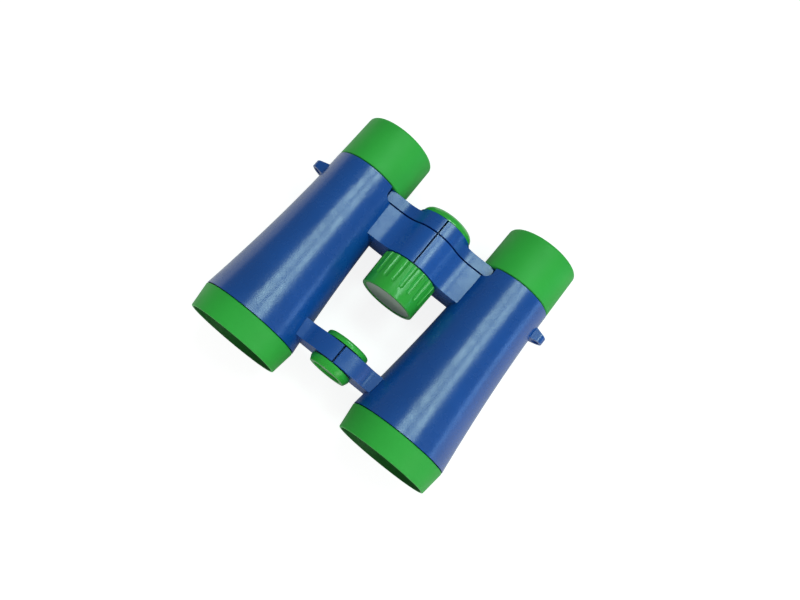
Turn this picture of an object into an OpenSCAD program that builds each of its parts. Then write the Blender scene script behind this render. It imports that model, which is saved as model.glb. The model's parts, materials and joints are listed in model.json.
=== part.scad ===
// Toy binoculars with a folding bridge and a centre focusing knob, in millimetres.
// +Y is the line of sight from the eyecups to the front rings, +X is the user's right, +Z is up.
// The origin is at the bottom centre of the fully open binoculars, focused on far things.

/* [Overall] */
// Length along the line of sight
total_l = 108; // [104:1:116]
// Distance between the two barrel axes when fully open
axis_gap = 75.5; // [73:0.5:84]
// Height of the hinge axis above the barrel axes
hinge_rise = 4; // [2:0.5:5]
// Angle that the right barrel folds through
fold_deg = 70; // [40:5:75]

/* [Barrels] */
// Largest diameter, where the front ring meets the barrel
ring_d = 44; // [42:0.5:46]
// Diameter at the rear end of the barrel
barrel_rear_d = 33.6; // [32.6:0.2:35]
// Wall thickness of the barrel
barrel_wall = 2.2; // [1.8:0.1:2.6]
// Shape of the flare towards the front, where 1 is a straight cone
flare_power = 1.72; // [1.2:0.02:2.2]
// Length of the narrow bore that guides the eyepiece tube
guide_l = 16; // [12:1:22]

/* [Front rings and objective lenses] */
// Visible length of the front ring
ring_l = 10.7; // [9.5:0.1:13]
// Diameter of the front ring at its mouth
ring_front_d = 41.6; // [40:0.2:42]
// Thickness of the rim at the mouth
rim_w = 1.1; // [0.8:0.1:1.6]
// Depth of the cylindrical mouth, where a lens cap pushes in
mouth_l = 4; // [3:0.5:5]
// Length of the spigot that enters the barrel
spigot_l = 5; // [4.4:0.2:6]
// Thickness of the spigot's wall
spigot_wall = 2.6; // [2:0.1:3]
// Width of the lip that the objective lens rests against
lens_lip = 1.2; // [0.8:0.1:1.6]
// Thickness of the objective lens at its edge
lens_edge_t = 2.2; // [1.6:0.1:3]
// Height of each domed face of the objective lens
lens_sag = 1.6; // [0.8:0.1:2]

/* [Eyepieces] */
// Visible length of the eyecup
cup_l = 20.9; // [19:0.1:24]
// Diameter of the eyecup at its front end
cup_front_d = 33.4; // [32.4:0.1:34]
// Diameter of the eyecup at its rear end
cup_rear_d = 32.8; // [32:0.1:34]
// Diameter of the eyecup's mouth
cup_mouth_d = 24; // [21:0.5:26]
// Thickness of the eyecup's inward lip
cup_lip_t = 2.6; // [2:0.1:3.4]
// Rounding of the eyecup's rear edge
cup_round = 1.4; // [0.6:0.1:1.5]
// Radius of the eyepiece tube that slides in the barrel
tube_r = 12.8; // [12.4:0.1:13.2]
// Wall thickness of the eyepiece tube
tube_wall = 1.9; // [1.6:0.1:2.4]
// Length of the eyepiece tube inside the barrel
tube_in_l = 14; // [10:0.5:15]
// Wall thickness of the eyecup round the eyepiece's head
cup_wall = 1.9; // [1.6:0.1:2.4]
// Distance from the rear of the eyecup to the seat of the eye lens
eye_depth = 9; // [7:0.5:11]
// Thickness of the eye lens at its edge
eye_edge_t = 3.4; // [2.6:0.1:4]
// Depth of each hollow face of the eye lens
eye_sag = 0.9; // [0.4:0.1:1.2]
// Width of the lip behind the eye lens, and of its retaining ring
eye_lip_w = 1.8; // [1.2:0.1:2.4]
// Thickness of the lip behind the eye lens, and of its retaining ring
eye_lip_t = 1.4; // [1:0.1:1.8]

/* [Rear bridge] */
// Thickness of the rear bridge along the line of sight
block_t = 15.4; // [13:0.1:17]
// Radius of the round hinge lobe
lobe_r = 12.6; // [12:0.1:13.4]
// Height of the arms' level top above the hinge axis
shelf_rise = 5; // [3.4:0.1:5.8]
// Radius of the concave sweep between the lobe and the arm
sweep_r = 12; // [8:0.5:14]
// Depth of the arms' underside below the barrel axes
arm_drop = 6.5; // [5:0.1:7.5]
// Radius of the knuckles inside the lobe
knuckle_r = 7.6; // [7:0.1:8.2]
// Outer radius of the hollow hinge axle
axle_r = 4.2; // [4:0.1:4.6]

/* [Focusing yoke] */
// Thickness of the yoke's arms along the line of sight
yoke_t = 5; // [4.4:0.1:6]
// How far the yoke's arms reach over the side of the eyepiece tubes
yoke_over = 1.4; // [1:0.1:2.4]
// Rounding of the outer front corner of the yoke's arms, seen from above
yoke_corner_r = 2.6; // [1.5:0.1:3.4]
// How far the yoke's round boss stands behind its arms
boss_t = 1.6; // [1:0.1:2.4]
// Radius of the rear cap
rear_cap_r = 11.9; // [11:0.1:12.6]
// Thickness of the rear cap
rear_cap_t = 3.4; // [3:0.1:4.4]
// Radius of the spindle's collar
collar_r = 5; // [4.4:0.1:5.6]
// Thickness of the spindle's collar
collar_t = 1.3; // [1:0.1:1.8]
// Radius of the head of the yoke screw
screw_head_r = 4.4; // [4:0.1:5]
// Thickness of the head of the yoke screw
screw_head_t = 1.3; // [1:0.1:1.6]
// Radius of the shank of the yoke screw
screw_r = 1.4; // [1.2:0.1:1.6]
// Length of the shank of the yoke screw
screw_l = 8; // [6:0.5:12]

/* [Focusing knob] */
// Radius of the knob at its rear
knob_rear_r = 12.8; // [12.4:0.1:13.4]
// Radius of the knob at its front
knob_front_r = 12.4; // [12:0.1:12.8]
// Length of the knob
knob_l = 15.4; // [14:0.1:18]
// Number of finger grooves
groove_n = 20; // [12:1:24]
// Radius of the round bottom of a groove
groove_r = 1.35; // [1:0.05:1.45]
// Depth of a groove
groove_depth = 0.75; // [0.4:0.05:0.85]
// Length of the plain band in front of the grooves
groove_band = 4.1; // [3:0.1:6]
// Width of the rim round the knob's disc
knob_rim = 1.5; // [1.2:0.1:2]
// Wall thickness of the knob
knob_wall = 2.4; // [2.2:0.1:3]
// Thickness of the knob's rear web, which runs on the axle
web_t = 2.4; // [2:0.1:3]
// Thickness of the disc in the knob's face
disc_t = 1.2; // [0.8:0.1:1.6]
// How far the disc lies below the rim
disc_in = 0.4; // [0.2:0.05:0.8]
// Thickness of the flange of the knob's nut
nut_t = 2.2; // [1.6:0.1:3]
// Wall thickness of the hub of the knob's nut
nut_wall = 2.4; // [1.6:0.1:3]
// Radius of the focusing spindle
spindle_r = 3; // [2.7:0.1:3.2]
// Thickness of the spring clip that keeps the knob on its axle
clip_t = 0.9; // [0.6:0.1:1.2]
// Width of the spring clip
clip_w = 2.2; // [1.6:0.1:2.8]
// Depth of the clip's groove in the axle
clip_in = 0.4; // [0.2:0.05:0.6]

/* [Front bridge] */
// Thickness of the front bridge along the line of sight
front_t = 7.9; // [7:0.1:9]
// Distance from the front bridge to the mouth of the rings
front_setback = 16.4; // [16:0.1:20]
// Height of the top of the front bridge above the hinge axis
front_rise = 9.3; // [8.6:0.1:10]
// Radius of the arched top of the front bridge
arch_r = 26; // [22:0.5:32]
// Height of the front arms' level top above the hinge axis
front_shelf_rise = 5; // [3.4:0.1:5.4]
// Radius of the concave sweep between the arch and the arm
front_sweep_r = 6; // [3:0.5:8]
// Depth of the underside of the front bridge below the barrel axes
front_drop = 6; // [5:0.1:6.4]
// Radius of the knuckles inside the front bridge
front_knuckle_r = 6.4; // [5.8:0.1:6.8]
// Radius of the front hinge pin
pin_r = 2.6; // [2.2:0.1:3]
// Length of the pin that sits in its cap and in its head
pin_end = 1.1; // [1:0.1:1.2]
// Radius of the bevelled front cap
front_cap_r = 9.2; // [8.4:0.1:9.6]
// Thickness of the bevelled front cap
front_cap_t = 3.3; // [3.2:0.1:4.4]
// Width of the bevel round the front cap
bevel_w = 0.9; // [0.4:0.1:1.4]
// Length of the bevel round the front cap
bevel_l = 1.9; // [1:0.1:2.4]
// Radius of the pale disc in the front cap
cap_disc_r = 6.4; // [5.4:0.1:6.6]
// Thickness of the pale disc in the front cap
cap_disc_t = 0.6; // [0.4:0.1:0.7]
// How far the pale disc lies below the rim of the front cap
cap_disc_in = 1.1; // [0.3:0.1:1.2]
// Radius of the round head behind the front bridge
head_r = 9.8; // [9:0.1:10.4]
// Thickness of the round head behind the front bridge
head_t = 2.4; // [2.2:0.1:3.4]

/* [Joints between arms and barrels] */
// Height of the tongue that locates an arm in its barrel
tongue_h = 6; // [4:0.5:8]
// Depth of the tongue in the wall
tongue_in = 1.2; // [0.8:0.1:1.3]
// Length of the rear arm's tongue
rear_tongue_l = 8; // [5:0.5:10]
// Length of the front arm's tongue
front_tongue_l = 4; // [3:0.5:5]
// Length of the yoke arm's tongue in the eyepiece tube
yoke_tongue_l = 2.6; // [2:0.2:3.4]

/* [Strap lugs] */
// How far the tip of the lug stands out past the front ring
lug_past_ring = 0.25; // [0:0.25:2]
// Radius of the lug's round tip
lug_tip_r = 2.8; // [2.6:0.1:3.4]
// Radius of the strap eye
strap_eye_r = 1.5; // [1.2:0.1:1.6]
// Height of the lug where it leaves the barrel
lug_root_h = 8; // [6:0.5:10]
// Thickness of the lug where it leaves the barrel
lug_root_t = 5; // [4.4:0.1:6.5]
// Thickness of the lug at its tip
lug_tip_t = 2.8; // [2.2:0.1:4.2]
// Distance from the rear end of the barrel to the middle of the lug
lug_setback = 8.6; // [6.5:0.1:12]

/* [Clearances] */
// Gap between parts that move past each other
part_gap = 0.4; // [0.2:0.05:0.5]
// Gap of the seam between the left and right halves of a bridge
seam_gap = 0.45; // [0.2:0.05:0.6]
// Gap between glued or seated parts
seat_gap = 0.05; // [0.02:0.01:0.1]
// Radial clearance of shafts and sliding tubes
run_fit = 0.05; // [0.02:0.01:0.1]
// Small chamfer or rounding on moulded edges
edge_break = 0.4; // [0.2:0.05:0.6]
// Spare angle left under the bridge when folded, in degrees
fold_spare = 4; // [2:1:8]

/* [Hidden] */

$fn = 96;
overrun = 0.5;      // how far a cutting tool passes the face that it cuts
reach = total_l;    // length of a tool that crosses the whole model
flare_steps = 20;   // straight steps in the barrel's flared side
dome_steps = 8;     // straight steps from the middle to the edge of a lens
round_steps = 5;    // straight steps in a small round edge

// Places along the line of sight
front_y = total_l / 2;
join_y = front_y - ring_l;
bridge_front_y = front_y - front_setback;
bridge_rear_y = bridge_front_y - front_t;
cup_rear_y = -total_l / 2;
cup_front_y = cup_rear_y + cup_l;
barrel_rear_y = cup_front_y + part_gap;
yoke_rear_y = cup_front_y + seat_gap;
yoke_front_y = yoke_rear_y + yoke_t;
boss_rear_y = yoke_rear_y - boss_t;
block_rear_y = yoke_front_y + part_gap;
block_front_y = block_rear_y + block_t;
knob_rear_y = block_front_y + part_gap;
knob_front_y = knob_rear_y + knob_l;

// Places across the object
axis_x = axis_gap / 2;
axis_z = ring_d / 2;
hinge_z = axis_z + hinge_rise;

// Radii of the barrel and of what fits in it
barrel_front_r = ring_d / 2;
barrel_rear_r = barrel_rear_d / 2;
barrel_l = join_y - barrel_rear_y;
guide_r = tube_r + run_fit;
socket_step = 0.6;  // how much thicker the wall is round the socket of the front ring
socket_r = barrel_front_r - barrel_wall - socket_step;
spigot_r = socket_r - seat_gap;
cell_r = spigot_r - spigot_wall;
lens_r = cell_r - seat_gap;
lens_clear_r = cell_r - lens_lip;
head_tube_r = cup_rear_d / 2 - cup_wall - seat_gap;
eye_cell_r = tube_r - tube_wall;
eye_lens_r = eye_cell_r - seat_gap;
eye_clear_r = eye_cell_r - eye_lip_w;

// The barrel's outer radius at the place y
function barrel_r(y) =
    barrel_rear_r + (barrel_front_r - barrel_rear_r) * pow((y - barrel_rear_y) / barrel_l, flare_power);
// Outline of the barrel's side between two places, as radius and place, moved out by g
function flare(y0, y1, g) =
    [for (i = [0:flare_steps]) let (y = y0 + (y1 - y0) * i / flare_steps) [barrel_r(y) + g, y]];
// Points of a round edge about a centre given as radius and place
function arc(cr, cy, r, a0, a1) =
    [for (i = [0:round_steps]) let (a = a0 + (a1 - a0) * i / round_steps) [cr + r * cos(a), cy + r * sin(a)]];
// Height of a lens face above its edge, at the distance x from the middle
function dome(x, r, rise) =
    let (ball = (r * r + rise * rise) / (2 * rise)) sqrt(ball * ball - x * x) - (ball - rise);
// Outline of a lens face from the middle to the edge, with its edge at y
function lens_face(r, y, rise, way) =
    [for (i = [0:dome_steps]) let (x = r * i / dome_steps) [x, y + way * dome(x, r, rise)]];
function flip(points) = [for (i = [len(points) - 1:-1:0]) points[i]];

// Colours of the moulded plastics, the metal parts and the lenses
body_blue = [0.12, 0.27, 0.62];
trim_green = [0.16, 0.62, 0.25];
black_plastic = [0.08, 0.08, 0.09];
disc_grey = [0.45, 0.52, 0.48];
metal = [0.72, 0.74, 0.76];
lens_tint = [0.55, 0.62, 0.72, 0.5];

// A cylinder along the line of sight from y0 to y1
module rod(r, y0, y1) {
    translate([0, y0, 0]) rotate([-90, 0, 0]) cylinder(h = y1 - y0, r = r);
}

// A cone along the line of sight with radius r0 at y0 and r1 at y1
module taper(r0, r1, y0, y1) {
    translate([0, y0, 0]) rotate([-90, 0, 0]) cylinder(h = y1 - y0, r1 = r0, r2 = r1);
}

// A body turned about the line of sight from points of radius and place
module turned(points) {
    rotate([-90, 0, 0]) rotate_extrude() polygon(points);
}

// An outline in x and z drawn out from y0 to y1
module drawn(points, y0, y1) {
    translate([0, y1, 0]) rotate([90, 0, 0]) linear_extrude(y1 - y0) polygon(points);
}

// A block from its lowest corner to its highest
module block(low, high) {
    translate(low) cube(high - low);
}

module at_barrel() {
    translate([axis_x, 0, axis_z]) children();
}

module at_hinge() {
    translate([0, 0, hinge_z]) children();
}

// The left side is the mirror image of the right one
module on_side(side) {
    if (side > 0) children();
    else mirror([1, 0, 0]) children();
}

// Barrels

// Solid envelope of the barrel, grown by g, about its own axis
module barrel_envelope(g = 0) {
    turned(concat([[0, barrel_rear_y]], flare(barrel_rear_y, join_y, g), [[0, join_y]]));
}

// Narrow guide bore at the rear, flared hollow, and socket for the front ring
module barrel_hollow() {
    guide_end_y = barrel_rear_y + guide_l;
    socket_y = join_y - spigot_l - part_gap;
    turned(concat(
        [[0, barrel_rear_y - overrun], [guide_r, barrel_rear_y - overrun], [guide_r, guide_end_y]],
        flare(guide_end_y, socket_y, -barrel_wall),
        [[socket_r, socket_y], [socket_r, join_y + overrun], [0, join_y + overrun]]));
}

// Tongue of an arm in the wall of a barrel or tube whose outer radius is r, grown by g
module tongue(r, y_mid, l, g = 0) {
    block([-r - part_gap, y_mid - l / 2 - g, -tongue_h / 2 - g],
        [-r + tongue_in + g, y_mid + l / 2 + g, tongue_h / 2 + g]);
}

module rear_tongue(g = 0) {
    y = (block_rear_y + block_front_y) / 2;
    tongue(barrel_r(y), y, rear_tongue_l, g);
}

module front_tongue(g = 0) {
    y = (bridge_rear_y + bridge_front_y) / 2;
    tongue(barrel_r(y), y, front_tongue_l, g);
}

module yoke_tongue(g = 0) {
    tongue(tube_r, (yoke_rear_y + yoke_front_y) / 2, yoke_tongue_l, g);
}

// The yoke arm ends this far from the barrel axis
yoke_end = tube_r - yoke_over;
lug_reach = ring_d / 2 + lug_past_ring;
lug_eye_x = lug_reach - lug_tip_r;
lug_y = barrel_rear_y + lug_setback;

// Thickness of the lug at the distance x from the barrel axis
function lug_t(x) =
    lug_root_t + (lug_tip_t - lug_root_t) * (x - barrel_rear_r) / (lug_reach - barrel_rear_r);

// Strap lug: a rounded tab that narrows towards its tip, seen from above and from the end
module strap_lug() {
    root_x = barrel_rear_r - barrel_wall;
    end_x = lug_reach + overrun;
    translate([0, lug_y, 0])
        intersection() {
            union() {
                translate([lug_eye_x, 0, 0]) rod(lug_tip_r, -lug_root_t, lug_root_t);
                drawn([[root_x, -lug_root_h / 2], [lug_eye_x, -lug_tip_r], [lug_eye_x, lug_tip_r],
                    [root_x, lug_root_h / 2]], -lug_root_t, lug_root_t);
            }
            translate([0, 0, -lug_reach])
                linear_extrude(2 * lug_reach)
                    polygon([[root_x, -lug_t(root_x) / 2], [end_x, -lug_t(end_x) / 2],
                        [end_x, lug_t(end_x) / 2], [root_x, lug_t(root_x) / 2]]);
        }
}

// What rounds off the vertical edge at x and y with the radius r
module edge_cut(x, y, r) {
    difference() {
        block([x - r, y - r, -reach], [x + overrun, y + overrun, reach]);
        translate([x - r, y - r, -reach - overrun]) cylinder(h = 2 * (reach + overrun), r = r);
    }
}

// The notch is open on top and at the rear, and lets the yoke arm reach the eyepiece tube
module barrel_notch() {
    end_x = part_gap - yoke_end;
    difference() {
        block([-reach, barrel_rear_y - overrun, -arm_drop - part_gap], [end_x, block_rear_y, reach]);
        edge_cut(end_x, block_rear_y, yoke_corner_r + part_gap);
    }
}

module barrel(side) {
    color(body_blue) on_side(side) at_barrel()
        difference() {
            union() {
                barrel_envelope();
                strap_lug();
            }
            barrel_hollow();
            barrel_notch();
            translate([lug_eye_x, lug_y, 0]) rod(strap_eye_r, -lug_root_t, lug_root_t);
            rear_tongue(seat_gap);
            front_tongue(seat_gap);
        }
}

// Front rings and objective lenses

lip_rear_y = join_y + lens_lip + edge_break;
lens_front_y = lip_rear_y - part_gap;
lens_rear_y = lens_front_y - lens_edge_t;

// The front ring seats in the barrel with its spigot and holds the lens behind a lip
module front_ring(side) {
    mouth_r = ring_front_d / 2 - rim_w;
    spigot_rear_y = join_y - spigot_l;
    color(trim_green) on_side(side) at_barrel()
        difference() {
            turned(concat(
                [[0, spigot_rear_y], [spigot_r, spigot_rear_y], [spigot_r, join_y + seat_gap],
                    [barrel_front_r - edge_break, join_y + seat_gap], [barrel_front_r, join_y + edge_break]],
                arc(ring_front_d / 2 - edge_break, front_y - edge_break, edge_break, 0, 90),
                [[0, front_y]]));
            rod(mouth_r, front_y - mouth_l, front_y + overrun);
            taper(cell_r, mouth_r, lip_rear_y + lens_lip, front_y - mouth_l);
            rod(lens_clear_r, lip_rear_y - overrun, front_y - mouth_l);
            rod(cell_r, spigot_rear_y - overrun, lip_rear_y);
        }
}

// Thicker in the middle, with both faces domed
module objective_lens(side) {
    color(lens_tint) on_side(side) at_barrel()
        turned(concat(
            lens_face(lens_r, lens_rear_y, lens_sag, -1),
            flip(lens_face(lens_r, lens_front_y, lens_sag, 1))));
}

// Ring that is pressed in behind the objective lens
module lens_retainer(side) {
    rear = join_y - spigot_l + seat_gap;
    front = lens_rear_y - part_gap;
    color(black_plastic) on_side(side) at_barrel()
        difference() {
            rod(lens_r, rear, front);
            rod(lens_clear_r, rear - overrun, front + overrun);
        }
}

// Bridges

// What one half of a hinge may fill: from the seam on top round to the folding gap underneath
module half_space(y0, y1) {
    gap_slope = tan(90 - (fold_deg + fold_spare) / 2);
    drawn([[seam_gap / 2, 0], [seam_gap / 2, reach], [reach, reach], [reach, -reach * gap_slope]], y0, y1);
}

// Slots of every second of n knuckles between y0 and y1, from the one with the number first.
// Each inner end is moved out by g, and each outer end by g_end.
function slots(y0, y1, n, first, g, g_end) =
    [for (i = [first:2:n - 1]) let (step = (y1 - y0) / n)
        [y0 + i * step - (i == 0 ? g_end : g), y0 + (i + 1) * step + (i == n - 1 ? g_end : g)]];

// One half of a hinge of n knuckles with the radius r. children() gives the half's solid form.
// The half has every second knuckle from the number mine, which is 0 or 1.
module hinge_half(y0, y1, n, mine, r, bore_r) {
    difference() {
        union() {
            difference() {
                intersection() {
                    children();
                    half_space(y0, y1);
                }
                for (s = slots(y0, y1, n, 1 - mine, part_gap / 2, overrun)) rod(r + part_gap, s[0], s[1]);
            }
            for (s = slots(y0, y1, n, mine, -part_gap / 2, 0)) rod(r, s[0], s[1]);
        }
        rod(bore_r, y0 - overrun, y1 + overrun);
    }
}

// Wave-shaped bridge from the hinge out to the barrel: a round top of radius r with its highest point
// at rise, a concave sweep, and a level arm. Below, the round top ends at low and the arm at under.
module wave(y0, y1, r, rise, sweep, shelf, low, under, x1) {
    round_z = rise - r;
    sweep_z = shelf + sweep;
    sweep_x = sqrt(pow(r + sweep, 2) - pow(sweep_z - round_z, 2));
    meet_share = r / (r + sweep);
    difference() {
        union() {
            intersection() {
                translate([0, 0, round_z]) rod(r, y0, y1);
                block([0, y0, low], [r, y1, rise]);
            }
            block([0, y0, under], [x1, y1, shelf]);
            block([0, y0, under], [sweep_x, y1, round_z + (sweep_z - round_z) * meet_share]);
        }
        translate([sweep_x, 0, sweep_z]) rod(sweep, y0 - overrun, y1 + overrun);
    }
}

module rear_wave(y0, y1, x1) {
    wave(y0, y1, lobe_r, lobe_r, sweep_r, shelf_rise, -lobe_r, -hinge_rise - arm_drop, x1);
}

// The left rear arm carries the outer two knuckles and the right one the middle knuckle
module rear_arm(side) {
    color(body_blue) on_side(side) {
        difference() {
            at_hinge()
                hinge_half(block_rear_y, block_front_y, 3, side > 0 ? 1 : 0, knuckle_r,
                    axle_r + (side > 0 ? run_fit : seat_gap))
                    rear_wave(block_rear_y, block_front_y, axis_x);
            at_barrel() barrel_envelope(seat_gap);
        }
        at_barrel() rear_tongue();
    }
}

// The left front arm carries the rear knuckle and the right one the front knuckle
module front_arm(side) {
    under = -hinge_rise - front_drop;
    color(body_blue) on_side(side) {
        difference() {
            at_hinge()
                hinge_half(bridge_rear_y, bridge_front_y, 2, side > 0 ? 1 : 0, front_knuckle_r,
                    pin_r + (side > 0 ? run_fit : seat_gap))
                    wave(bridge_rear_y, bridge_front_y, arch_r, front_rise, front_sweep_r,
                        front_shelf_rise, under, under, axis_x);
            at_barrel() barrel_envelope(seat_gap);
        }
        at_barrel() front_tongue();
    }
}

// The yoke arm repeats the rear wave, with a round boss behind, and is glued to the eyepiece tube.
// The spindle's collar lies in the left one.
module yoke_arm(side) {
    color(body_blue) on_side(side) {
        difference() {
            at_hinge()
                hinge_half(boss_rear_y, yoke_front_y, 2, side > 0 ? 0 : 1, knuckle_r,
                    spindle_r + (side > 0 ? run_fit : seat_gap))
                    union() {
                        rear_wave(yoke_rear_y, yoke_front_y, axis_x - yoke_end);
                        rod(lobe_r, boss_rear_y, yoke_front_y);
                    }
            at_barrel() {
                rod(tube_r + seat_gap, boss_rear_y - overrun, yoke_front_y + overrun);
                edge_cut(-yoke_end, yoke_front_y, yoke_corner_r);
            }
            if (side < 0)
                at_hinge()
                    rod(collar_r + seat_gap, yoke_front_y - collar_t - seat_gap, yoke_front_y + overrun);
        }
        at_barrel() yoke_tongue();
    }
}

// Eyepieces

eye_seat_y = cup_rear_y + eye_depth;
tube_rear_y = eye_seat_y - eye_lip_t;

// A tube that slides in the barrel, with a wider head for the eyecup and a seat for the eye lens
module eyepiece_tube(side) {
    tube_front_y = barrel_rear_y + tube_in_l;
    color(black_plastic) on_side(side) at_barrel()
        difference() {
            union() {
                rod(tube_r, cup_front_y, tube_front_y);
                rod(head_tube_r, tube_rear_y, cup_front_y);
            }
            rod(eye_cell_r, eye_seat_y, tube_front_y + overrun);
            rod(eye_clear_r, tube_rear_y - overrun, eye_seat_y + overrun);
            yoke_tongue(seat_gap);
        }
}

// Thinner in the middle, with both faces hollow
module eye_lens(side) {
    rear = eye_seat_y + seat_gap;
    color(lens_tint) on_side(side) at_barrel()
        turned(concat(
            lens_face(eye_lens_r, rear, eye_sag, 1),
            flip(lens_face(eye_lens_r, rear + eye_edge_t, eye_sag, -1))));
}

// Ring that is pressed in, in front of the eye lens
module eye_retainer(side) {
    rear = eye_seat_y + seat_gap + eye_edge_t + seat_gap;
    color(black_plastic) on_side(side) at_barrel()
        difference() {
            rod(eye_lens_r, rear, rear + eye_lip_t);
            rod(eye_clear_r, rear - overrun, rear + eye_lip_t + overrun);
        }
}

// Sleeve over the eyepiece's head, with an inward lip round its mouth
module eyecup(side) {
    mouth_r = cup_mouth_d / 2;
    color(trim_green) on_side(side) at_barrel()
        difference() {
            turned(concat(
                [[mouth_r, cup_front_y]],
                arc(mouth_r + edge_break, cup_rear_y + edge_break, edge_break, 180, 270),
                arc(cup_rear_d / 2 - cup_round, cup_rear_y + cup_round, cup_round, -90, 0),
                [[cup_front_d / 2, cup_front_y - edge_break], [cup_front_d / 2 - edge_break, cup_front_y]]));
            rod(head_tube_r + seat_gap, cup_rear_y + cup_lip_t, cup_front_y + overrun);
        }
}

// Rear hinge and focusing drive

axle_in_r = axle_r - clip_in;
clip_y = knob_rear_y + web_t + part_gap;
axle_front_y = clip_y + 2 * clip_t;
knob_in_r = knob_front_r - knob_wall;
disc_r = knob_front_r - knob_rim - seat_gap;
disc_rear_y = knob_front_y - disc_in - disc_t;
nut_front_y = disc_rear_y - seat_gap;

// Hollow axle, fixed in the left arm, that carries the right arm and the knob
module hinge_axle() {
    color(metal) at_hinge()
        difference() {
            rod(axle_r, block_rear_y, axle_front_y);
            rod(spindle_r + run_fit, block_rear_y - overrun, axle_front_y + overrun);
            difference() {
                rod(axle_r + overrun, clip_y - seat_gap, clip_y + clip_t + seat_gap);
                rod(axle_in_r, clip_y - overrun, clip_y + clip_t + overrun);
            }
        }
}

// The clip is open at the bottom so that it springs over the axle
module axle_clip() {
    mouth_w = 2 * axle_in_r - clip_w / 2;
    color(metal) at_hinge()
        difference() {
            rod(axle_in_r + clip_w, clip_y, clip_y + clip_t);
            rod(axle_in_r + seat_gap, clip_y - overrun, clip_y + clip_t + overrun);
            block([-mouth_w / 2, clip_y - overrun, -reach], [mouth_w / 2, clip_y + clip_t + overrun, 0]);
        }
}

// A groove runs out at the knob's rear and ends round in front
module knob_groove() {
    end_y = knob_front_y - groove_band - groove_r;
    translate([0, 0, knob_rear_r + groove_r - groove_depth]) {
        rod(groove_r, knob_rear_y - overrun, end_y, $fn = 32);
        translate([0, end_y, 0]) sphere(groove_r, $fn = 32);
    }
}

// Grooved cup that turns on the axle
module focus_knob() {
    color(trim_green) at_hinge()
        difference() {
            turned(concat(
                [[0, knob_rear_y], [knob_rear_r - edge_break, knob_rear_y],
                    [knob_rear_r, knob_rear_y + edge_break]],
                arc(knob_front_r - edge_break, knob_front_y - edge_break, edge_break, 0, 90),
                [[0, knob_front_y]]));
            rod(disc_r + seat_gap, nut_front_y, knob_front_y + overrun);
            rod(knob_in_r, knob_rear_y + web_t, knob_front_y);
            rod(axle_r + run_fit, knob_rear_y - overrun, knob_rear_y + web_t + overrun);
            for (i = [0:groove_n - 1])
                rotate([0, (i + 0.5) * 360 / groove_n, 0]) knob_groove();
        }
}

// The nut's flange is fixed in the knob, and its hub runs on the spindle's thread
module knob_nut() {
    color(metal) at_hinge()
        difference() {
            union() {
                rod(knob_in_r - seat_gap, nut_front_y - nut_t, nut_front_y - seat_gap);
                rod(spindle_r + run_fit + nut_wall, axle_front_y + part_gap, nut_front_y - seat_gap);
            }
            rod(spindle_r + run_fit, axle_front_y, nut_front_y + overrun);
        }
}

module knob_disc() {
    color(disc_grey) at_hinge()
        rod(disc_r, disc_rear_y, disc_rear_y + disc_t);
}

// The spindle joins the yoke to the knob's nut, and a screw holds the yoke on its end
module focus_spindle() {
    color(metal) at_hinge()
        difference() {
            union() {
                rod(spindle_r, boss_rear_y, nut_front_y - part_gap);
                rod(collar_r, yoke_front_y - collar_t, yoke_front_y);
            }
            rod(screw_r + seat_gap, boss_rear_y - overrun, boss_rear_y + screw_l + part_gap);
        }
}

screw_front_y = boss_rear_y - seat_gap;
screw_rear_y = screw_front_y - screw_head_t;

// Washer-headed screw with a driver slot
module yoke_screw() {
    slot_w = screw_r / 2;
    slot_in = screw_head_t / 2;
    color(metal) at_hinge()
        difference() {
            union() {
                rod(screw_head_r, screw_rear_y, screw_front_y);
                rod(screw_r, screw_front_y, boss_rear_y + screw_l);
            }
            block([-screw_head_r - overrun, screw_rear_y - overrun, -slot_w / 2],
                [screw_head_r + overrun, screw_rear_y + slot_in, slot_w / 2]);
        }
}

// Button that is pressed over the screw's head, with a broad rounded edge
module rear_cap() {
    front = boss_rear_y - part_gap;
    rear = front - rear_cap_t;
    edge_r = rear_cap_t - edge_break;
    color(trim_green) at_hinge()
        difference() {
            turned(concat(
                [[0, rear]],
                arc(rear_cap_r - edge_r, rear + edge_r, edge_r, -90, 0),
                [[rear_cap_r, front], [0, front]]));
            rod(screw_head_r + seat_gap, screw_rear_y - seat_gap, front + overrun);
        }
}

// Front hinge

// Pin that is fixed in the left arm, the head and the cap, and carries the right arm
module front_pin() {
    color(metal) at_hinge()
        rod(pin_r, bridge_rear_y - part_gap - pin_end, bridge_front_y + part_gap + pin_end);
}

module pin_head() {
    front = bridge_rear_y - part_gap;
    rear = front - head_t;
    edge_r = head_t / 2;
    color(trim_green) at_hinge()
        difference() {
            turned(concat(
                [[0, rear]],
                arc(head_r - edge_r, rear + edge_r, edge_r, -90, 0),
                [[head_r, front], [0, front]]));
            rod(pin_r + seat_gap, front - pin_end - seat_gap, front + overrun);
        }
}

cap_rear_y = bridge_front_y + part_gap;
cap_front_y = cap_rear_y + front_cap_t;
cap_disc_y = cap_front_y - cap_disc_in - cap_disc_t;

module front_cap() {
    color(trim_green) at_hinge()
        difference() {
            turned([[0, cap_rear_y], [front_cap_r, cap_rear_y], [front_cap_r, cap_front_y - bevel_l],
                [front_cap_r - bevel_w, cap_front_y], [0, cap_front_y]]);
            rod(cap_disc_r + seat_gap, cap_disc_y - seat_gap, cap_front_y + overrun);
            rod(pin_r + seat_gap, cap_rear_y - overrun, cap_rear_y + pin_end + seat_gap);
        }
}

module front_cap_disc() {
    color(disc_grey) at_hinge()
        rod(cap_disc_r, cap_disc_y, cap_disc_y + cap_disc_t);
}

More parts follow.
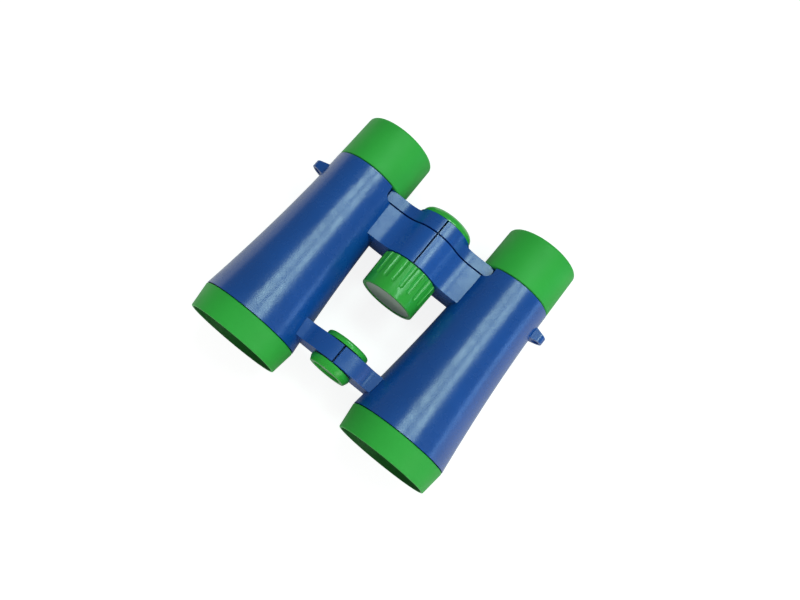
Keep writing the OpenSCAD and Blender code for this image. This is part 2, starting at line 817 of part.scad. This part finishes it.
barrel(-1);  // left_barrel
barrel(1);  // right_barrel
front_ring(-1);  // left_front_ring
front_ring(1);  // right_front_ring
objective_lens(-1);  // left_objective_lens
objective_lens(1);  // right_objective_lens
lens_retainer(-1);  // left_lens_retainer
lens_retainer(1);  // right_lens_retainer
rear_arm(-1);  // left_rear_arm
rear_arm(1);  // right_rear_arm
front_arm(-1);  // left_front_arm
front_arm(1);  // right_front_arm
yoke_arm(-1);  // left_yoke_arm
yoke_arm(1);  // right_yoke_arm
eyepiece_tube(-1);  // left_eyepiece_tube
eyepiece_tube(1);  // right_eyepiece_tube
eye_lens(-1);  // left_eye_lens
eye_lens(1);  // right_eye_lens
eye_retainer(-1);  // left_eye_retainer
eye_retainer(1);  // right_eye_retainer
eyecup(-1);  // left_eyecup
eyecup(1);  // right_eyecup
hinge_axle();
axle_clip();
focus_knob();
knob_nut();
knob_disc();
focus_spindle();
yoke_screw();
rear_cap();
front_pin();
front_cap();
front_cap_disc();
pin_head();
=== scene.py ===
import json
import math

import bmesh
import bpy
from mathutils import Matrix, Vector


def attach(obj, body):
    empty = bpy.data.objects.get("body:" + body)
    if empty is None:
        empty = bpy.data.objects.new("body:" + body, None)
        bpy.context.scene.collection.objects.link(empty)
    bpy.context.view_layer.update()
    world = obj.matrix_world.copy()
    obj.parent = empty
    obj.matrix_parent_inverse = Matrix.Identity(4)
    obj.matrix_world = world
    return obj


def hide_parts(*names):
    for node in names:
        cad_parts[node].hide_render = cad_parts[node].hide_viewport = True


MM = 0.001

# Camera, solved from the photograph: its place in metres, and the directions of the image's
# right side, of its lower side and of the line of sight
CAMERA_PLACE = (-0.03243, 0.07995, 0.37202)
IMAGE_RIGHT = (-0.78007, -0.62059, 0.07971)
IMAGE_DOWN = (-0.62065, 0.75135, -0.22421)
IMAGE_AWAY = (0.07926, -0.22437, -0.97127)
LENS_MM = 39.893
SENSOR_MM = 36.0

# Edges of CAD parts that turn by more than this are rounded, and smaller steps are shaded smooth
SHARP = math.radians(28)
FLAT = math.radians(0.4)
WELD = 2e-6

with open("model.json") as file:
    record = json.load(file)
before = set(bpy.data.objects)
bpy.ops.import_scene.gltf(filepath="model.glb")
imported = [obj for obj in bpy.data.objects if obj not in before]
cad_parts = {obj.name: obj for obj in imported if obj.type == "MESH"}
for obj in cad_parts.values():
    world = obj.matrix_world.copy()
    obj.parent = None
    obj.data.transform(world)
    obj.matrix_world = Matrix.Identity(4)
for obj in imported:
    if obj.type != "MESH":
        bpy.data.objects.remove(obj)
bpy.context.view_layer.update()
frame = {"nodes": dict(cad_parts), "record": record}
nodes = frame["nodes"]
SLOTS = {s["node"]: s["material_slot"] for s in frame["record"]["subparts"]}
BODIES = {n: b for b, members in frame["record"]["behaviour"]["bodies"].items() for n in members}


# Shader nodes

class Shader:
    """A material's node tree, with short calls to add to it."""

    def __init__(self, name):
        self.mat = bpy.data.materials.new(name)
        self.mat.use_nodes = True
        self.tree = self.mat.node_tree
        self.bsdf = self.tree.nodes["Principled BSDF"]
        self.coords = self.add("ShaderNodeTexCoord").outputs["Object"]

    def add(self, kind, **values):
        node = self.tree.nodes.new(kind)
        for key, value in values.items():
            setattr(node, key, value)
        return node

    def link(self, out, socket):
        self.tree.links.new(out, socket)

    def set(self, **values):
        """Constants of the surface shader, with _ for a space in the socket's name."""
        for key, value in values.items():
            self.bsdf.inputs[key.replace("_", " ")].default_value = value

    def noise(self, scale, detail=3.0, roughness=0.5, stretch=None):
        """Noise with this many waves for each metre, stretched along the axes if asked."""
        node = self.add("ShaderNodeTexNoise")
        node.inputs["Scale"].default_value = scale
        node.inputs["Detail"].default_value = detail
        node.inputs["Roughness"].default_value = roughness
        where = self.coords
        if stretch:
            turn = self.add("ShaderNodeMapping")
            turn.inputs["Scale"].default_value = stretch
            self.link(where, turn.inputs["Vector"])
            where = turn.outputs["Vector"]
        self.link(where, node.inputs["Vector"])
        return node.outputs["Fac"]

    def ramp(self, fac, stops):
        """A colour ramp over fac from (place, colour) stops."""
        node = self.add("ShaderNodeValToRGB")
        band = node.color_ramp
        while len(band.elements) < len(stops):
            band.elements.new(0.5)
        for element, (place, colour) in zip(band.elements, stops):
            element.position = place
            element.color = (*colour, 1.0)
        self.link(fac, node.inputs["Fac"])
        return node.outputs["Color"]

    def span(self, fac, low, high, from_low=0.0, from_high=1.0):
        """Maps fac between two values."""
        node = self.add("ShaderNodeMapRange")
        for key, value in (("From Min", from_low), ("From Max", from_high),
                           ("To Min", low), ("To Max", high)):
            node.inputs[key].default_value = value
        self.link(fac, node.inputs["Value"])
        return node.outputs["Result"]

    def math(self, operation, a, b):
        node = self.add("ShaderNodeMath", operation=operation)
        for socket, value in zip(node.inputs, (a, b)):
            if isinstance(value, (int, float)):
                socket.default_value = value
            else:
                self.link(value, socket)
        return node.outputs["Value"]

    def mix(self, fac, a, b):
        """Mixes two colours by fac."""
        node = self.add("ShaderNodeMix", data_type="RGBA")
        self.link(fac, node.inputs["Factor"])
        for socket, value in ((node.inputs[6], a), (node.inputs[7], b)):
            if isinstance(value, tuple):
                socket.default_value = (*value, 1.0)
            else:
                self.link(value, socket)
        return node.outputs[2]

    def bump(self, height, strength, depth):
        """Bumps of this depth in metres."""
        node = self.add("ShaderNodeBump")
        node.inputs["Strength"].default_value = strength
        node.inputs["Distance"].default_value = depth
        self.link(height, node.inputs["Height"])
        self.link(node.outputs["Normal"], self.bsdf.inputs["Normal"])

    def edge_wear(self, low, high):
        """1 on worn convex edges and 0 elsewhere."""
        point = self.add("ShaderNodeNewGeometry").outputs["Pointiness"]
        return self.span(point, 0.0, 1.0, low, high)


def shade(colour, factor):
    return tuple(c * factor for c in colour)


# Waves of the noises for each metre, and the depths of the bumps in metres
PIGMENT_WAVES = 45.0
SMEAR_WAVES = 160.0
GRAIN_WAVES = 1200.0
DUST_WAVES = 900.0
TINT_WAVES = 30.0
TURNED_WAVES = (900.0, 6000.0, 900.0)
BRUSHED_WAVES = (9000.0, 300.0, 300.0)
GRAIN_DEPTH = 0.00004
LINES_DEPTH = 0.00003
PLASTIC_IOR = 1.49
GLASS_IOR = 1.5


def moulded(name, colour, rough, grain, specular):
    """Moulded plastic: pigment that varies a little, a fine grain, rubbed edges, and painted shade on
    faces marked as a ring's inner mouth wall.
    """
    s = Shader(name)
    pigment = s.ramp(s.noise(PIGMENT_WAVES, 4.0), [(0.3, shade(colour, 0.93)), (0.7, shade(colour, 1.07))])
    worn = s.edge_wear(0.53, 0.6)
    rubbed = s.mix(s.math("MULTIPLY", worn, 0.35), pigment, shade(colour, 1.5))
    # Painted shade: faces marked as a ring's inner mouth wall are darkened to a share of the pigment
    inside = s.add("ShaderNodeAttribute")
    inside.attribute_name = "inside"
    s.link(s.mix(inside.outputs["Fac"], rubbed, shade(colour, PAINTED_MOUTH_SHADE)), s.bsdf.inputs["Base Color"])
    smear = s.span(s.noise(SMEAR_WAVES, 5.0, 0.6), rough - 0.04, rough + 0.05, 0.3, 0.7)
    s.link(smear, s.bsdf.inputs["Roughness"])
    s.bump(s.noise(GRAIN_WAVES, 1.0), grain, GRAIN_DEPTH)
    s.set(Specular_IOR_Level=specular, IOR=PLASTIC_IOR)
    return s.mat


def metal(name, colour, rough, turned):
    """Metal with fine turning marks about the line of sight, or brushed across."""
    s = Shader(name)
    lines = s.noise(1.0, 2.0, stretch=TURNED_WAVES if turned else BRUSHED_WAVES)
    tone = s.ramp(lines, [(0.3, shade(colour, 0.85)), (0.7, shade(colour, 1.1))])
    s.link(tone, s.bsdf.inputs["Base Color"])
    s.link(s.span(lines, rough - 0.06, rough + 0.08, 0.3, 0.7), s.bsdf.inputs["Roughness"])
    s.bump(lines, 0.15, LINES_DEPTH)
    s.set(Metallic=1.0)
    return s.mat


def glass(name):
    """Coated lens glass, with a little dust on it."""
    s = Shader(name)
    dust = s.noise(DUST_WAVES, 6.0, 0.7)
    s.link(s.span(dust, 0.0, 0.06, 0.5, 0.8), s.bsdf.inputs["Roughness"])
    tint = s.ramp(s.noise(TINT_WAVES), [(0.3, (0.86, 0.93, 0.98)), (0.7, (0.92, 0.96, 1.0))])
    s.link(tint, s.bsdf.inputs["Base Color"])
    s.set(Transmission_Weight=1.0, IOR=GLASS_IOR, Coat_Weight=0.25, Coat_Roughness=0.02,
          Coat_Tint=(0.55, 0.5, 1.0, 1.0))
    return s.mat


# Studio: each lamp's name, place, size, power and tint
COOL = (0.68, 1.0, 0.90)
PLAIN = (1.0, 1.0, 1.0)
BLUISH = (0.30, 0.58, 1.0)
LAMPS = [
    ("top_left_box", (-0.665, -0.70, 1.90), (0.87, 0.35), 10.6, COOL),
    ("top_right_box", (0.135, -0.70, 1.90), (0.61, 0.35), 7.1, COOL),
    ("side_box", (-0.75, 0.30, 0.50), (0.8, 0.5), 2.2, PLAIN),
    ("front_fill", (0.1, 1.3, 0.45), (0.9, 0.4), 3.4, PLAIN),
    ("low_left", (-1.3, -0.42, 0.20), (0.5, 0.22), 1.6, BLUISH),
]
# How pale the floor is, how much it shows by itself to the camera and in reflections, how far out the
# object paints shade into its glow as reflections see it, the level of the light from all round, and what
# is reflected from overhead
FLOOR_PALE = 0.35
FLOOR_GLOW = 0.86
FLOOR_SHEEN = 0.8
NEAR_FLOOR = 0.06
WORLD_LEVEL = 0.26
CEILING = 0.2
# What reflections see at the horizon, and how high it reaches, as the sine of its elevation
HORIZON = 0.8
HORIZON_TOP = 0.12

# Pigments, and how much of theirs the inner wall of the rings' mouths keeps under its painted shade
BLUE = (0.004, 0.080, 0.36)
GREEN = (0.034, 0.46, 0.054)
GREEN_GLOSS = (0.034, 0.44, 0.048)
PAINTED_MOUTH_SHADE = 0.3

# One material for each slot: a plastic's pigment, roughness, grain and specular level, or a metal's
# tone and roughness
MATERIALS = {
    "blue_plastic": moulded("blue_plastic", BLUE, 0.26, 0.03, 0.6),
    "green_satin_plastic": moulded("green_satin_plastic", GREEN, 0.52, 0.22, 0.32),
    "green_gloss_plastic": moulded("green_gloss_plastic", GREEN_GLOSS, 0.20, 0.03, 0.5),
    "black_plastic": moulded("black_plastic", (0.012, 0.012, 0.013), 0.5, 0.3, 0.4),
    "grey_green_plastic": moulded("grey_green_plastic", (0.40, 0.48, 0.38), 0.45, 0.2, 0.4),
    "pale_metal": metal("pale_metal", (0.62, 0.66, 0.6), 0.34, False),
    "steel": metal("steel", (0.6, 0.6, 0.62), 0.28, True),
    "lens_glass": glass("lens_glass"),
}


# Dressed copies of the CAD parts

# The barrels' axes, a place along them in the rings, and the least radius of the rings' mouths
BARREL_X = 0.03775
BARREL_Z = 0.022
RING_Y = 0.05
MOUTH_FROM = 0.0155

# Faces beside a joint line, in mm: where they lie along the line of sight, and how far they draw back
JOINT_FACES = {"rear_arm": (-27.65, 0.15), "yoke_arm": (-28.05, -0.15), "barrel": (43.3, -0.2)}
# The seam on top of both hinges: how high above the hinge axis it starts, and how far it draws back
SEAM_FROM = {"rear_arm": 7.8, "yoke_arm": 7.8, "front_arm": 6.6}
SEAM_BACK = 0.15
HINGE_Z = 26.0


def open_joints(bm, kind):
    """Draws the faces beside a joint line back a little, so that the line shows as a shadow."""
    place, shift = JOINT_FACES.get(kind, (None, 0.0))
    for vert in bm.verts:
        if place is not None and abs(vert.co.y / MM - place) < 0.02:
            vert.co.y += shift * MM
        if kind in SEAM_FROM and abs(vert.co.x) < 0.3 * MM and vert.co.z / MM > HINGE_Z + SEAM_FROM[kind]:
            vert.co.x += math.copysign(SEAM_BACK * MM, vert.co.x)


def paint_mouth_shade(mesh):
    """Marks the inner wall of a front ring for painted shade: its colour is darkened for the shade inside
    the mouth.
    """
    axis_x = math.copysign(BARREL_X, mesh.vertices[0].co.x)
    shade_marks = mesh.attributes.new("inside", "FLOAT", "FACE")
    for face, shade_mark in zip(mesh.polygons, shade_marks.data):
        out = Vector((face.center.x - axis_x, 0.0, face.center.z - BARREL_Z))
        shade_mark.value = 1.0 if face.normal.dot(out) < 0 and out.length > MOUTH_FROM else 0.0


def rounded_mesh(node, kind, width):
    """A copy of a CAD part's mesh with its joint lines opened and its sharp outer edges rounded."""
    bm = bmesh.new()
    bm.from_mesh(nodes[node].data)
    bmesh.ops.remove_doubles(bm, verts=bm.verts, dist=WELD)
    open_joints(bm, kind)
    bmesh.ops.dissolve_limit(bm, angle_limit=FLAT, verts=bm.verts, edges=bm.edges)
    sharp = [e for e in bm.edges if e.is_manifold and e.is_convex and e.calc_face_angle() > SHARP]
    bmesh.ops.bevel(bm, geom=sharp, offset=width, offset_type="OFFSET", segments=2,
                    profile=0.5, affect="EDGES", clamp_overlap=True)
    mesh = bpy.data.meshes.new(node + "_look")
    bm.to_mesh(mesh)
    bm.free()
    mesh.shade_smooth()
    mesh.set_sharp_from_angle(angle=SHARP)
    return mesh


def dressed(node, kind, width):
    """A copy of a CAD part, its outer edges rounded by width, which stands for it."""
    mesh = rounded_mesh(node, kind, width)
    mesh.materials.append(MATERIALS[SLOTS[node]])
    # The front rings' mouths get their painted shade
    if kind == "front_ring":
        paint_mouth_shade(mesh)
    look = bpy.data.objects.new(node + "_look", mesh)
    bpy.context.scene.collection.objects.link(look)
    even = look.modifiers.new("even", "WEIGHTED_NORMAL")
    even.mode = "FACE_AREA_WITH_ANGLE"
    even.weight = 90
    even.keep_sharp = True
    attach(look, BODIES[node])
    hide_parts(node)


# How much the outer edges of each kind of part are rounded, in mm
ROUNDING = {"barrel": 0.25, "rear_arm": 0.3, "front_arm": 0.3, "yoke_arm": 0.3, "front_ring": 0.3,
            "eyecup": 0.15, "focus_knob": 0.12, "front_cap": 0.12}


def dress_all():
    """Gives every CAD part its material, the plain ones as they are and the others as a dressed copy."""
    for name, obj in nodes.items():
        kind = name.split("_", 1)[1] if name.startswith(("left_", "right_")) else name
        if kind in ROUNDING:
            dressed(name, kind, ROUNDING[kind] * MM)
        else:
            obj.data.materials.clear()
            obj.data.materials.append(MATERIALS[SLOTS[name]])


# Studio

def area_light(name, place, size, watts, tint, aim=(0, 0, 0.02)):
    """A soft box at place that faces aim, size metres wide and high."""
    data = bpy.data.lights.new(name, "AREA")
    data.color = tint
    data.shape = "RECTANGLE"
    data.size, data.size_y = size
    data.energy = watts
    lamp = bpy.data.objects.new(name, data)
    lamp.location = place
    look = Vector(aim) - Vector(place)
    lamp.rotation_euler = look.to_track_quat("-Z", "Y").to_euler()
    bpy.context.scene.collection.objects.link(lamp)


def combine(tree, operation, a, b):
    """The result of a math node over a and b, of which b may be a number."""
    node = tree.nodes.new("ShaderNodeMath")
    node.operation = operation
    tree.links.new(a, node.inputs[0])
    if isinstance(b, float):
        node.inputs[1].default_value = b
    else:
        tree.links.new(b, node.inputs[1])
    return node.outputs[0]


def camera_rays(tree):
    return tree.nodes.new("ShaderNodeLightPath").outputs["Is Camera Ray"]


def seen_rays(tree):
    """1 for the rays that see the background: from the camera, and off metal and through glass."""
    path = tree.nodes.new("ShaderNodeLightPath")
    seen = path.outputs["Is Camera Ray"]
    for kind in ("Is Glossy Ray", "Is Transmission Ray"):
        seen = combine(tree, "MAXIMUM", seen, path.outputs[kind])
    return seen


def floor_glow(tree):
    """How much the floor shows by itself. In reflections this glow carries painted shade: it is less where
    the object stands close.
    """
    # Painted shade: the glow that reflections see is darkened by occlusion near the object
    open_air = tree.nodes.new("ShaderNodeAmbientOcclusion")
    open_air.inputs["Distance"].default_value = NEAR_FLOOR
    clear = combine(tree, "POWER", open_air.outputs["AO"], 2.0)
    mirrored = combine(tree, "MULTIPLY", seen_rays(tree), clear)
    to_camera = combine(tree, "MULTIPLY", camera_rays(tree), FLOOR_GLOW)
    return combine(tree, "MAXIMUM", to_camera, combine(tree, "MULTIPLY", mirrored, FLOOR_SHEEN))


def floor_material():
    mat = bpy.data.materials.new("floor")
    mat.use_nodes = True
    tree = mat.node_tree
    tree.nodes.clear()
    out = tree.nodes.new("ShaderNodeOutputMaterial")
    diffuse = tree.nodes.new("ShaderNodeBsdfDiffuse")
    diffuse.inputs["Color"].default_value = (FLOOR_PALE, FLOOR_PALE, FLOOR_PALE, 1)
    glow = tree.nodes.new("ShaderNodeEmission")
    tree.links.new(floor_glow(tree), glow.inputs["Strength"])
    both = tree.nodes.new("ShaderNodeAddShader")
    tree.links.new(diffuse.outputs[0], both.inputs[0])
    tree.links.new(glow.outputs[0], both.inputs[1])
    tree.links.new(both.outputs[0], out.inputs["Surface"])
    return mat


def keep_below_fold(floor):
    """The folding half swings down, so the floor follows the height of its front ring."""
    ring = bpy.data.objects.new("right_ring_middle", None)
    ring.location = (BARREL_X, RING_Y, BARREL_Z)
    bpy.context.scene.collection.objects.link(ring)
    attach(ring, BODIES["right_barrel"])
    floor.location.z = -BARREL_Z
    follow = floor.constraints.new("COPY_LOCATION")
    follow.target = ring
    follow.use_x = follow.use_y = False
    follow.use_offset = True


def studio_floor(half=2.0):
    """A pale floor that shows white where it is fully lit, and keeps a soft shadow."""
    mesh = bpy.data.meshes.new("floor")
    mesh.from_pydata([(-half, -half, 0), (half, -half, 0), (half, half, 0), (-half, half, 0)], [],
                     [(0, 1, 2, 3)])
    mesh.materials.append(floor_material())
    floor = bpy.data.objects.new("floor", mesh)
    bpy.context.scene.collection.objects.link(floor)
    keep_below_fold(floor)


def studio_world():
    """Dim light on the object. The camera sees white, and reflections white low down and grey above."""
    world = bpy.data.worlds.new("studio")
    world.use_nodes = True
    tree = world.node_tree
    tree.nodes.clear()
    out = tree.nodes.new("ShaderNodeOutputWorld")
    dim = tree.nodes.new("ShaderNodeBackground")
    dim.inputs["Strength"].default_value = WORLD_LEVEL
    where = tree.nodes.new("ShaderNodeTexCoord")
    split = tree.nodes.new("ShaderNodeSeparateXYZ")
    tree.links.new(where.outputs["Generated"], split.inputs[0])
    fade = tree.nodes.new("ShaderNodeMapRange")
    for key, value in (("From Max", HORIZON_TOP), ("To Min", HORIZON), ("To Max", CEILING)):
        fade.inputs[key].default_value = value
    tree.links.new(split.outputs["Z"], fade.inputs["Value"])
    strength = combine(tree, "MAXIMUM", camera_rays(tree), fade.outputs["Result"])
    white = tree.nodes.new("ShaderNodeBackground")
    tree.links.new(strength, white.inputs["Strength"])
    for light in (dim, white):
        light.inputs["Color"].default_value = (1, 1, 1, 1)
    blend = tree.nodes.new("ShaderNodeMixShader")
    tree.links.new(seen_rays(tree), blend.inputs[0])
    tree.links.new(dim.outputs[0], blend.inputs[1])
    tree.links.new(white.outputs[0], blend.inputs[2])
    tree.links.new(blend.outputs[0], out.inputs["Surface"])
    bpy.context.scene.world = world


def studio_camera():
    """The camera of the photograph."""
    data = bpy.data.cameras.new("camera")
    data.lens = LENS_MM
    data.sensor_width = SENSOR_MM
    data.clip_start = 0.01
    camera = bpy.data.objects.new("camera", data)
    turn = Matrix((IMAGE_RIGHT, -Vector(IMAGE_DOWN), -Vector(IMAGE_AWAY))).transposed()
    camera.matrix_world = Matrix.Translation(CAMERA_PLACE) @ turn.to_4x4()
    bpy.context.scene.collection.objects.link(camera)
    bpy.context.scene.camera = camera


dress_all()
studio_camera()
studio_floor()
studio_world()
for lamp in LAMPS:
    area_light(*lamp)
bpy.context.scene.view_settings.view_transform = "Standard"
